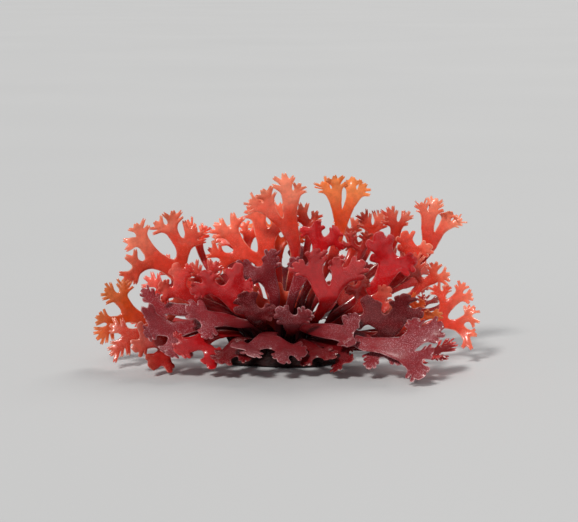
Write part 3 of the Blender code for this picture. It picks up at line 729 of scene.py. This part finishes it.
    def finger(self, base, finger):
        """A finger on its base: a round lobe on a leaf, and a pair of small teeth on a fan."""
        if not finger:
            return
        blade = self.blade
        start, end = (blade.points[index] for index in base)
        tip_start, tip_end = finger[1]
        across = (tip_end - tip_start) / 2
        reach = (tip_start + tip_end - start - end) / 2
        toothed = self.style.fingertip < LOBED
        bulge = across * (0.1 if toothed else LOBE_BULGE)
        middle = [blade.add(start.lerp(tip_start, FINGER_MIDDLE) - bulge, BLADE_THICKNESS)]
        if toothed:
            middle.append(blade.add((start + end) / 2 + reach * (FINGER_MIDDLE + 0.1), BLADE_THICKNESS))
        middle.append(blade.add(end.lerp(tip_end, FINGER_MIDDLE) + bulge, BLADE_THICKNESS))
        blade.faces.append((base[0], base[1], *reversed(middle)))
        if not toothed:
            ends = [blade.add(point, TIP_THICKNESS) for point in (tip_start, tip_end)]
            blade.join(middle, ends)
            return
        for side, root in ((-1, middle[:2]), (1, middle[1:])):
            top = (tip_start + tip_end) / 2 + side * TOOTH_LEAN * across
            top += reach.normalized() * across.length * self.detail.uniform(*TOOTH_LENGTHS)
            half = across * TOOTH_HALF
            blade.join(root, [blade.add(top - half, TIP_THICKNESS), blade.add(top + half, TIP_THICKNESS)])

    def fingertip(self, frame, base):
        half = (base[1] - base[0]).length / 2 * self.style.fingertip
        return edge(frame, half, half)


def tree_of(points):
    """A tree that finds the point nearest to a place."""
    tree = kdtree.KDTree(len(points))
    for index, point in enumerate(points):
        tree.insert(point, index)
    tree.balance()
    return tree


def away_from(points, axil):
    """The points that aren't right beside an axil."""
    if axil is None:
        return points
    return points[((points - np.array(axil))**2).sum(axis=1) > AXIL_REACH**2]


def turns_of(own, way):
    return [math.radians(mine + more) for mine, more in zip(own, way)]


def stipe_rows(frames, width):
    """The rows of a stipe, each with half its width and its thickness. It widens late and thins slowly."""
    count = max(3, round(len(frames) * SAMPLE_STEP / STIPE_ROW))
    rows = []
    for k in range(count + 1):
        share = k / count
        half = (FOOT_WIDTH + (width - FOOT_WIDTH) * share**STIPE_WIDENING) / 2
        thickness = FOOT_THICKNESS + (BLADE_THICKNESS - FOOT_THICKNESS) * share
        rows.append((frames[round(share * (len(frames) - 1))], half, thickness))
    return rows


def foot_places(fork):
    """Places for a foot on the crust, the best one first: outer and low fronds stand nearer its rim."""
    across = Vector((fork.x / TUFT_HALF_WIDTH, fork.y / TUFT_HALF_DEPTH))
    lowness = 1 - fork.z / TUFT_HEIGHT
    best = across.normalized() * min(FOOT_REACH, across.length * (0.75 + 0.6 * lowness))
    for k in range(FOOT_TRIES):
        step = Vector((math.cos(k * GOLDEN_ANGLE), math.sin(k * GOLDEN_ANGLE))) * 0.055 * math.sqrt(k)
        place = best + step
        if place.length <= FOOT_REACH:
            yield Vector((place.x * CRUST_HALF_WIDTH, place.y * CRUST_HALF_DEPTH, 0))


def stipe_frames(foot, end, bow):
    """Frames from the foot straight up off the crust, then along a curve to the first fork, with no twist."""
    top = foot + Vector((0, 0, FOOT_RISE))
    apart = (end.origin - top).length
    rise = max(0.0, end.origin.z - top.z)
    controls = (
        top,
        top + Vector((0, 0, 0.2 * apart + 0.25 * rise)) + (bow[0] * end.side + bow[1] * end.face) * apart,
        end.origin - 0.38 * apart * end.along,
        end.origin,
    )
    count = max(4, math.ceil(apart * 1.15 / SAMPLE_STEP))
    points = [smooth_path(controls, k / count) for k in range(count + 1)]
    below = max(2, math.ceil(FOOT_RISE / SAMPLE_STEP))
    points = [foot.lerp(top, k / below) for k in range(below)] + points
    ways = [(after - before).normalized() for before, after in zip(points, points[1:])] + [end.along]
    frames = [end]
    for point, way in zip(reversed(points[:-1]), reversed(ways[:-1])):
        turn = frames[-1].along.rotation_difference(way)
        frames.append(frame_at(point, way, turn @ frames[-1].face))
    return frames[::-1]


def smooth_path(controls, share):
    """A point on the cubic Bezier curve with these control points."""
    a, b, c, d = controls
    rest = 1 - share
    return rest**3 * a + 3 * rest**2 * share * b + 3 * rest * share**2 * c + share**3 * d


class Crust:
    """The low mound that carries every frond."""

    def __init__(self):
        self.points = []
        self.faces = []
        rows = []
        for ring, (reach, rise) in enumerate(CRUST_RINGS):
            rows.append([self.lumpy(reach, rise, ring, side) for side in range(CRUST_SIDES)])
        for lower, upper in zip(rows, rows[1:]):
            for k in range(CRUST_SIDES):
                after = (k + 1) % CRUST_SIDES
                self.faces.append((lower[k], lower[after], upper[after]))
                self.faces.append((lower[k], upper[after], upper[k]))
        self.close(rows[0][::-1], 0)
        self.close(rows[-1], CRUST_HEIGHT)
        self.tree = BVHTree.FromPolygons(self.points, self.faces)

    def lumpy(self, reach, rise, ring, side):
        angle = 2 * math.pi * (side + 0.5 * (ring % 2)) / CRUST_SIDES
        lump = 1 + CRUST_LUMPS * (math.sin(5 * angle + 1.3) + 0.7 * math.sin(9 * angle + 2.1 * ring))
        x = CRUST_HALF_WIDTH * reach * lump * math.cos(angle)
        y = CRUST_HALF_DEPTH * reach * lump * math.sin(angle)
        self.points.append(Vector((x, y, CRUST_HEIGHT * rise * (1 + 0.5 * (lump - 1)))))
        return len(self.points) - 1

    def close(self, ring, height):
        """Closes a ring with a fan of triangles around a middle point."""
        self.points.append(Vector((0, 0, height)))
        middle = len(self.points) - 1
        for k, corner in enumerate(ring):
            self.faces.append((corner, ring[(k + 1) % len(ring)], middle))

    def height(self, place):
        """The highest point of the crust under a foot."""
        reach = FOOT_WIDTH / 2
        corners = [Vector((x, y, 0)) for x in (-reach, 0, reach) for y in (-reach, 0, reach)]
        above = Vector((0, 0, 2 * CRUST_HEIGHT))
        hits = [self.tree.ray_cast(place + corner + above, Vector((0, 0, -1)))[0] for corner in corners]
        return max(hit.z for hit in hits if hit)


def placed(name, data):
    """A new object in the scene."""
    made = bpy.data.objects.new(name, data)
    bpy.context.scene.collection.objects.link(made)
    return made


def mesh_object(name, points, faces, finish=None):
    mesh = bpy.data.meshes.new(name)
    mesh.from_pydata(points, [], faces)
    if finish:
        mesh.materials.append(finish)
    return placed(name, mesh)


def smoothed(rough, splits):
    """The object with its faces split again and again and rounded off."""
    smooth = rough.modifiers.new("Smooth", "SUBSURF")
    smooth.levels = smooth.render_levels = splits
    return rough.evaluated_get(bpy.context.evaluated_depsgraph_get())


def split_up(blade):
    """The middle surface smoothed, all of it in quads, and its thickness at each point."""
    rough = mesh_object("rough", blade.points, blade.faces)
    rough.data.attributes.new("thickness", "FLOAT", "POINT").data.foreach_set("value", blade.thickness)
    fine = smoothed(rough, SPLITS).to_mesh()
    places = np.empty(len(fine.vertices) * 3)
    fine.vertices.foreach_get("co", places)
    corners = np.empty(len(fine.loops), int)
    fine.loops.foreach_get("vertex_index", corners)
    values = np.empty(len(fine.vertices))
    fine.attributes["thickness"].data.foreach_get("value", values)
    bpy.data.objects.remove(rough)
    return places.reshape(-1, 3), corners.reshape(-1, 4), values


def unit(vectors):
    return vectors / np.maximum(np.linalg.norm(vectors, axis=1), 1e-12)[:, None]


def normals_of(points, quads):
    a, b, c, d = (points[quads[:, k]] for k in range(4))
    across = np.cross(c - a, d - b)
    normals = np.zeros_like(points)
    for k in range(4):
        np.add.at(normals, quads[:, k], across)
    return unit(normals)


def open_edges(quads):
    """The directed edges that only one quad has."""
    edges = np.concatenate([quads[:, [k, (k + 1) % 4]] for k in range(4)])
    keys = np.sort(edges, axis=1)
    _, first, counts = np.unique(keys, axis=0, return_index=True, return_counts=True)
    return edges[first[counts == 1]]


def waves(points, length, seed):
    """Smooth noise from -1 to 1 at each point, with waves of about that length."""
    shift = Vector((seed * 7.3, seed * 3.1, seed * 5.7))
    return np.array([noise.noise(Vector(point) / length + shift) for point in points])


def ease(values):
    values = np.clip(values, 0, 1)
    return values * values * (3 - 2 * values)


def fade(distances, near, far):
    """1 up to the near distance, 0 from the far one on, and smooth between them."""
    return ease((far - distances) / (far - near))


def ways_out(points, normals, rim):
    """The way out of the blade at each point of its margin."""
    outward = np.zeros_like(points)
    along = points[rim[:, 1]] - points[rim[:, 0]]
    for end in (0, 1):
        np.add.at(outward, rim[:, end], np.cross(along, normals[rim[:, end]]))
    return unit(outward)


def distance_to(points, others):
    tree = tree_of(others)
    return np.array([tree.find(point)[2] for point in points])


def thickened(points, quads, half, rim, outward):
    """A closed solid around the middle surface, with a rounded edge. Its points are front, back, edge."""
    normals = normals_of(points, quads)
    front = points + normals * half[:, None]
    back = points - normals * half[:, None]
    on_rim = np.unique(rim)
    middle = (points + outward * ROUND_EDGE)[on_rim]
    count = len(points)
    place = np.zeros(count, int)
    place[on_rim] = 2 * count + np.arange(len(on_rim))
    start, end = rim[:, 0], rim[:, 1]
    faces = np.concatenate([
        quads,
        quads[:, ::-1] + count,
        np.stack([end, start, place[start], place[end]], axis=1),
        np.stack([place[end], place[start], start + count, end + count], axis=1),
    ])
    return np.concatenate([front, back, middle]), faces.tolist()


def finer_frond(spec, growth, index, finish):
    """The frond's piece: its middle surface rounded off and ruffled, then thickened towards both faces."""
    points, quads, thickness = split_up(growth.blade)
    rim = open_edges(quads)
    on_rim = np.unique(rim)
    normals = normals_of(points, quads)
    outward = ways_out(points, normals, rim)
    inward = distance_to(points, np.concatenate([points[on_rim], points[rim].mean(axis=1)]))

    foot = np.array(growth.foot)
    stipe = np.linalg.norm(np.array(growth.first_fork) - foot)
    away = np.linalg.norm(points - foot, axis=1)
    rise = (away - stipe) / (spec.size * MM)
    free = ease(away / (STIFF_STIPE * stipe))
    sway = np.stack([waves(points, SWAY_LENGTH, seed) for seed in SWAY_SEEDS], axis=1)
    points += sway * (SWAY * ease(points[:, 2] / SWAY_FREE))[:, None]
    wobble = WOBBLE * free * waves(points, WOBBLE_LENGTH, index)
    points[on_rim] += (outward * wobble[:, None])[on_rim]
    lift = RUFFLE * waves(points, RUFFLE_LENGTH, index + RUFFLE_SEED)
    lift += CURL * waves(points, CURL_LENGTH, index + CURL_SEED) * fade(inward, 0, CURL_MARGIN)
    points += normals * (lift * free)[:, None]

    half = thickness / 2 * (MARGIN_THICKNESS + (1 - MARGIN_THICKNESS) * ease(inward / MARGIN))
    places, faces = thickened(points, quads, half, rim, outward)
    made = mesh_object(spec.name + "_blade", places, faces, finish)
    made.data.shade_smooth()

    # Painted shade: low down and near the middle of the tuft, where shade falls among the fronds, the flesh
    # is darkened
    reach = np.linalg.norm(points * (1, 1.1, 0), axis=1)
    low = fade(points[:, 2], *PAINTED_SHADE_HEIGHT) * fade(reach, *PAINTED_SHADE_REACH)
    # Up from its foot the stipe is darkened too, for older flesh and painted shade together
    old = np.maximum(fade(away, *OLD_AND_SHADED_STIPE), low)
    # A frond's own tone, or painted shade where the table sets a shaded low frond dark
    tint = TINTS_AND_SHADE.get(spec.name, random.Random(spec.name).random())
    values = {"rise": rise, "inward": inward / MM, "old": old, "tint": np.full(len(points), tint)}
    for name, value in values.items():
        value = np.concatenate([value, value, value[on_rim]])
        made.data.attributes.new(name, "FLOAT", "POINT").data.foreach_set("value", value)
    return made


class Nodes:
    """A material's nodes, added one after another."""

    def __init__(self, name):
        self.material = bpy.data.materials.new(name)
        self.material.use_nodes = True
        self.tree = self.material.node_tree
        self.tree.nodes.clear()

    def feed(self, socket, value):
        """Gives an input a number, a colour or another node's output."""
        if isinstance(value, bpy.types.NodeSocket):
            self.tree.links.new(value, socket)
        elif isinstance(value, tuple):
            socket.default_value = (*value, 1)
        else:
            socket.default_value = value

    def add(self, kind, inputs=(), **settings):
        """A node with these settings and with these inputs, by name."""
        node = self.tree.nodes.new(kind)
        for name, value in settings.items():
            setattr(node, name, value)
        for name, value in dict(inputs).items():
            self.feed(node.inputs[name], value)
        return node

    def attribute(self, name):
        return self.add("ShaderNodeAttribute", attribute_name=name, attribute_type="GEOMETRY").outputs["Fac"]

    def place(self):
        return self.add("ShaderNodeTexCoord").outputs["Object"]

    def noise(self, size, detail=3.0, roughness=0.5):
        """Noise from 0 to 1 whose patches are about this big."""
        inputs = {"Vector": self.place(), "Scale": 1 / size, "Detail": detail, "Roughness": roughness}
        return self.add("ShaderNodeTexNoise", inputs).outputs["Fac"]

    def dots(self, size):
        """The distance from the middle of the nearest dot, for dots of about this size."""
        inputs = {"Vector": self.place(), "Scale": 1 / size, "Randomness": 1.0}
        return self.add("ShaderNodeTexVoronoi", inputs).outputs["Distance"]

    def map(self, value, low, high, to_low=0.0, to_high=1.0, smooth=True):
        kind = "SMOOTHSTEP" if smooth else "LINEAR"
        inputs = {"Value": value, "From Min": low, "From Max": high, "To Min": to_low, "To Max": to_high}
        return self.add("ShaderNodeMapRange", inputs, interpolation_type=kind).outputs["Result"]

    def math(self, operation, first, second):
        node = self.add("ShaderNodeMath", operation=operation)
        for socket, value in zip(node.inputs, (first, second)):
            self.feed(socket, value)
        return node.outputs[0]

    def mix(self, share, first, second):
        """One colour over another. The node's colours are its inputs 6 and 7 and its output 2."""
        node = self.add("ShaderNodeMix", data_type="RGBA")
        for index, value in ((0, share), (6, first), (7, second)):
            self.feed(node.inputs[index], value)
        return node.outputs[2]

    def ramp(self, value, stops):
        node = self.add("ShaderNodeValToRGB", {"Fac": value})
        elements = node.color_ramp.elements
        while len(elements) < len(stops):
            elements.new(0.5)
        for element, (position, colour) in zip(elements, stops):
            element.position = position
            element.color = (*colour, 1)
        return node.outputs["Color"]

    def bump(self, height, strength, distance):
        inputs = {"Height": height, "Strength": strength, "Distance": distance}
        return self.add("ShaderNodeBump", inputs).outputs["Normal"]

    def finished(self, surface):
        """The material, with this surface."""
        self.add("ShaderNodeOutputMaterial", {"Surface": surface})
        return self.material


def frond_material(look):
    """Moist, translucent flesh: redder towards the foot, pale at the margins, with a speckled bloom."""
    nodes = Nodes(look.slot + "_flesh")
    drift = nodes.map(nodes.noise(DRIFT_SIZE), 0.3, 0.7, -0.09, 0.09, False)
    rise = nodes.math("ADD", nodes.attribute("rise"), drift)
    share = nodes.map(rise, -2.0, 1.0, smooth=False)
    colour = nodes.ramp(share, ((0.15, look.foot), (0.52, look.stem), (0.76, look.web), (0.95, look.tip)))
    mottle = nodes.map(nodes.noise(MOTTLE_SIZE, 4.0, 0.6), 0.3, 0.7, 0.86, 1.08)
    # How bright the frond is: its own tone, and painted shade for the shaded low fronds
    tint = nodes.map(nodes.attribute("tint"), 0, 1, 0.80, 1.14, False)
    value = nodes.math("MULTIPLY", mottle, tint)
    hue = {"Hue": 0.5, "Saturation": 1.0, "Value": value, "Color": colour}
    colour = nodes.add("ShaderNodeHueSaturation", hue).outputs["Color"]

    inward = nodes.attribute("inward")
    old = nodes.attribute("old")
    patches = nodes.map(nodes.noise(BLOOM_SIZE, 3.0, 0.55), 0.36, 0.62, 0.25, 1.0)
    specks = nodes.map(nodes.dots(SPECK_SIZE), 0.2, 0.5, 1.0, 0.12)
    bloom = nodes.math("MULTIPLY", patches, specks)
    bloom = nodes.math("MULTIPLY", bloom, nodes.map(old, 0.0, 0.5, look.bloom_share, 0.0))
    colour = nodes.mix(bloom, colour, look.bloom)
    margin = nodes.map(inward, 0.05, 0.45, look.margin_share, 0.0)
    margin = nodes.math("MULTIPLY", margin, nodes.map(nodes.noise(PALE_SIZE), 0.4, 0.6, 0.1, 1.4))
    margin = nodes.math("MULTIPLY", margin, nodes.map(old, 0.0, 0.5, 1.0, 0.0))
    colour = nodes.mix(margin, colour, look.margin)
    # Towards near-black where the flesh is old and where painted shade lies low in the tuft
    colour = nodes.mix(nodes.map(old, 0.0, 1.0, 0.0, 0.95, False), colour, OLD_AND_SHADED_COLOUR)

    grain = nodes.map(nodes.dots(GRAIN_SIZE), 0.0, 0.5, 1.0, 0.0)
    height = nodes.math("ADD", nodes.math("MULTIPLY", grain, 0.6), nodes.noise(SKIN_SIZE, 4.0, 0.6))
    normal = nodes.bump(height, 0.25 + 0.5 * look.grain, 0.12 * MM)
    roughness = nodes.map(bloom, 0.0, 0.6, look.roughness - 0.06, look.roughness + 0.2)
    # Less wet gloss in the same places: older flesh and painted shade
    wet = nodes.map(old, 0.0, 0.8, 1.0, 0.15)
    flesh = nodes.add("ShaderNodeBsdfPrincipled", {
        "Base Color": colour, "Roughness": roughness, "Normal": normal,
        "Specular IOR Level": nodes.math("MULTIPLY", wet, 0.45),
        "Coat Weight": nodes.math("MULTIPLY", wet, look.coat), "Coat Roughness": 0.12,
    })
    deeper = {"Hue": 0.5, "Saturation": 1.05, "Value": 1.4, "Color": colour}
    through = nodes.add("ShaderNodeHueSaturation", deeper)
    light = nodes.add("ShaderNodeBsdfTranslucent", {"Color": through.outputs["Color"], "Normal": normal})
    both = nodes.add("ShaderNodeMixShader", {"Fac": look.glow})
    nodes.feed(both.inputs[1], flesh.outputs["BSDF"])
    nodes.feed(both.inputs[2], light.outputs["BSDF"])
    return nodes.finished(both.outputs["Shader"])


def crust_material():
    """Near-black holdfast, old and darkened further with painted shade: rough, cracked and crusted with paler
    grains.
    """
    nodes = Nodes("crust_surface")
    lumps = nodes.map(nodes.noise(5 * MM, 5.0, 0.6), 0.3, 0.7)
    # The near-black colour is the holdfast's own dark flesh with painted shade in it
    colour = nodes.mix(lumps, (0.005, 0.001, 0.001), (0.024, 0.005, 0.005))
    grains = nodes.map(nodes.dots(0.8 * MM), 0.1, 0.35, 0.4, 0.0)
    colour = nodes.mix(nodes.math("MULTIPLY", grains, lumps), colour, (0.09, 0.032, 0.028))
    height = nodes.math("ADD", nodes.noise(1.5 * MM, 6.0, 0.65), nodes.math("MULTIPLY", grains, 0.5))
    shader = nodes.add("ShaderNodeBsdfPrincipled", {
        "Base Color": colour, "Roughness": nodes.map(lumps, 0.0, 1.0, 0.55, 0.85),
        "Normal": nodes.bump(height, 0.8, 0.4 * MM), "Specular IOR Level": 0.2,
    })
    return nodes.finished(shader.outputs["BSDF"])


def finer_crust(crust):
    """The crust rounded off, knobbly all over but for its flat bottom."""
    rough = mesh_object("rough_crust", crust.points, crust.faces)
    mesh = bpy.data.meshes.new_from_object(smoothed(rough, CRUST_SPLITS))
    bpy.data.objects.remove(rough)
    for vertex in mesh.vertices:
        place = vertex.co.copy()
        share = min(1.0, max(0.0, place.z / KNOB_FREE))
        knob = noise.fractal(place / KNOB_LENGTH, 0.8, 2.1, 4) * KNOB
        vertex.co += Vector(vertex.normal) * knob * share
        vertex.co.z = max(vertex.co.z, 0.0)
    mesh.name = "crust_mound"
    mesh.materials.append(crust_material())
    mesh.shade_smooth()
    return placed("crust_mound", mesh)


def floor_material():
    nodes = Nodes("floor_paint")
    colour = nodes.mix(nodes.noise(0.5, 2.0), (0.49, 0.50, 0.51), (0.53, 0.54, 0.55))
    shader = nodes.add("ShaderNodeBsdfPrincipled", {"Base Color": colour, "Roughness": 0.85})
    return nodes.finished(shader.outputs["BSDF"])


def aim(made, towards):
    """Turns a light or the camera to look one way."""
    made.rotation_mode = "QUATERNION"
    made.rotation_quaternion = Vector(towards).to_track_quat("-Z", "Y")


def add_light(name, towards, softness, strength, colour):
    """Soft light from far away, which lies even over the whole floor."""
    light = bpy.data.lights.new(name, "SUN")
    light.angle = math.radians(softness)
    light.energy = strength
    light.color = colour
    aim(placed(name, light), towards)


def studio():
    """The pale floor, the soft lights and the camera."""
    corners = [(-FLOOR, -FLOOR, 0), (FLOOR, -FLOOR, 0), (FLOOR, FLOOR, 0), (-FLOOR, FLOOR, 0)]
    mesh_object("floor", corners, [(0, 1, 2, 3)], floor_material())
    world = bpy.data.worlds.new("studio")
    world.use_nodes = True
    background = world.node_tree.nodes["Background"]
    background.inputs["Color"].default_value = SKY_COLOUR
    background.inputs["Strength"].default_value = SKY_STRENGTH
    bpy.context.scene.world = world
    add_light("key", (0.35, 0.75, -0.70), 10, 2.8, (1.0, 0.97, 0.93))
    add_light("back", (-0.30, -0.65, -0.65), 30, 1.4, (1.0, 0.96, 0.92))
    lens = bpy.data.cameras.new("camera")
    lens.sensor_width = SENSOR
    lens.lens = SENSOR * CAMERA_DISTANCE / FRAME_WIDTH
    camera = placed("camera", lens)
    away = Vector((0, -math.cos(CAMERA_ELEVATION), math.sin(CAMERA_ELEVATION)))
    camera.location = AIM + away * CAMERA_DISTANCE
    aim(camera, -away)
    bpy.context.scene.camera = camera
    bpy.context.scene.view_settings.view_transform = "Standard"


def build_tuft():
    crust = Crust()
    mound = finer_crust(crust)
    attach(mound, "root")
    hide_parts("basal_crust")
    finishes = {look.slot: frond_material(look) for look in (AMBER, SALMON, CORAL, CRIMSON, PLUM, MAROON)}
    grown = Grown()
    feet = []
    for index, spec in enumerate(FRONDS):
        growth = Growth(spec, grown)
        growth.grow(crust, feet)
        piece = finer_frond(spec, growth, index, finishes[spec.look.slot])
        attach(piece, "root")
        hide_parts(spec.name)


studio()
build_tuft()
